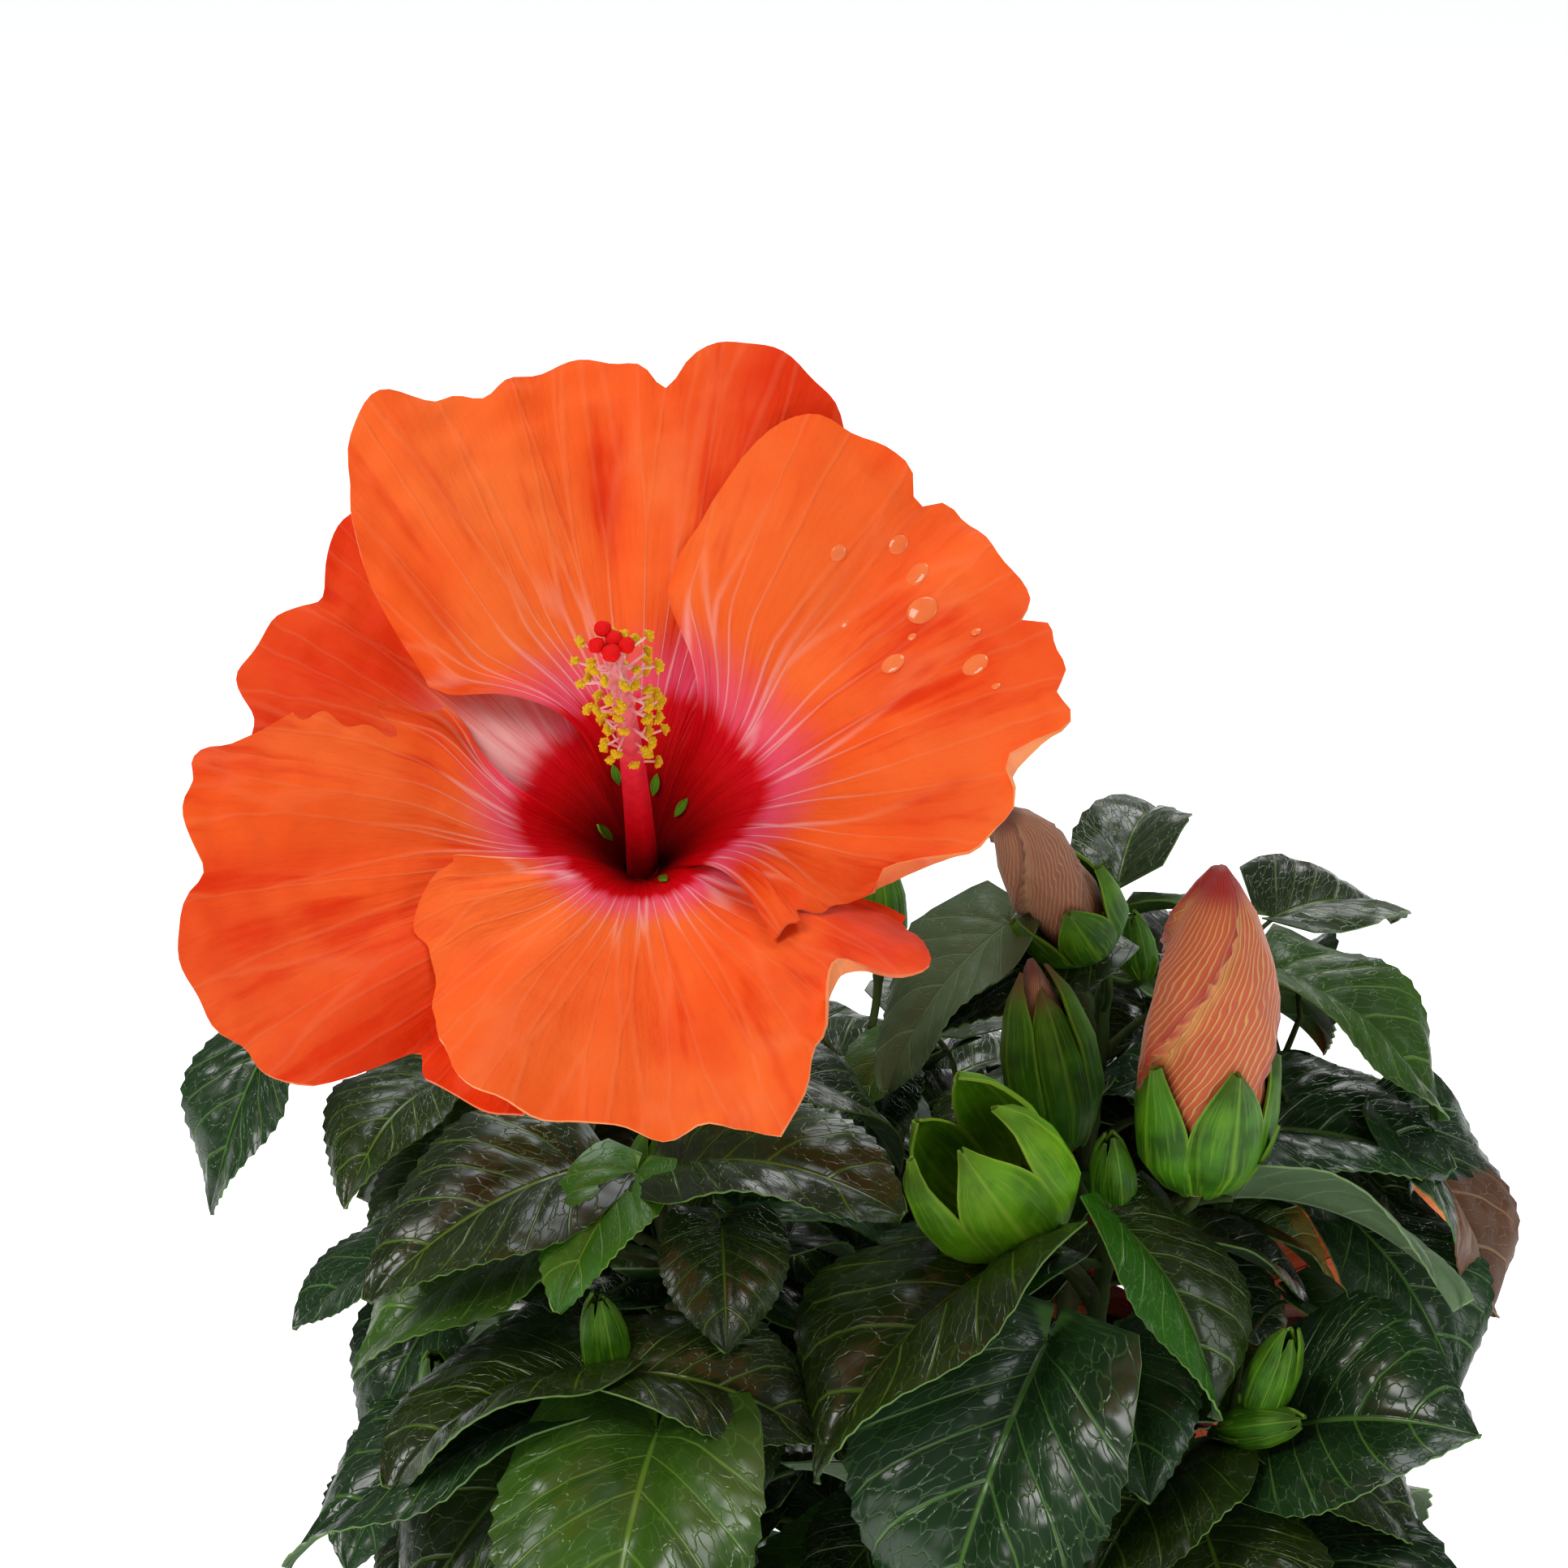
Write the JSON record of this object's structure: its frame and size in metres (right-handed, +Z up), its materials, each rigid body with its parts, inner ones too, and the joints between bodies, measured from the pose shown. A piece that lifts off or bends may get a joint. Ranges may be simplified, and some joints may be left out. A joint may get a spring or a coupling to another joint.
{
  "type": "hibiscus shrub",
  "caption": "Compact rooted hibiscus shrub: short woody stem, forked boughs, glossy toothed leaves, flower buds and wide ruffled orange blossoms.",
  "frame": {"origin": "middle of the flat cut under the main stem, at ground level", "axes": "+Z up; the front blossom faces -Y and up; +X to the right seen from the front"},
  "size_m": [0.247, 0.2416, 0.361],
  "materials": {
    "bark": "matt grey-brown bark with fine ridges",
    "foliage": "glossy dark green leaf, light grey-green underneath, with pale veins",
    "petal": "soft orange petal with a crimson throat and pale veins"
  },
  "bodies": {
    "root": {"main_stem": "bark", "bough_front_left": "bark", "bough_front_right": "bark", "bough_right": "bark", "bough_back_right": "bark", "bough_back": "bark", "bough_back_left": "bark", "bough_left": "bark", "foliage_front_left": "foliage", "foliage_front_right": "foliage", "foliage_right": "foliage", "foliage_back_right": "foliage", "foliage_back": "foliage", "foliage_back_left": "foliage", "foliage_left": "foliage", "blossom_front": "petal", "blossom_back": "petal"}
  },
  "joints": []
}
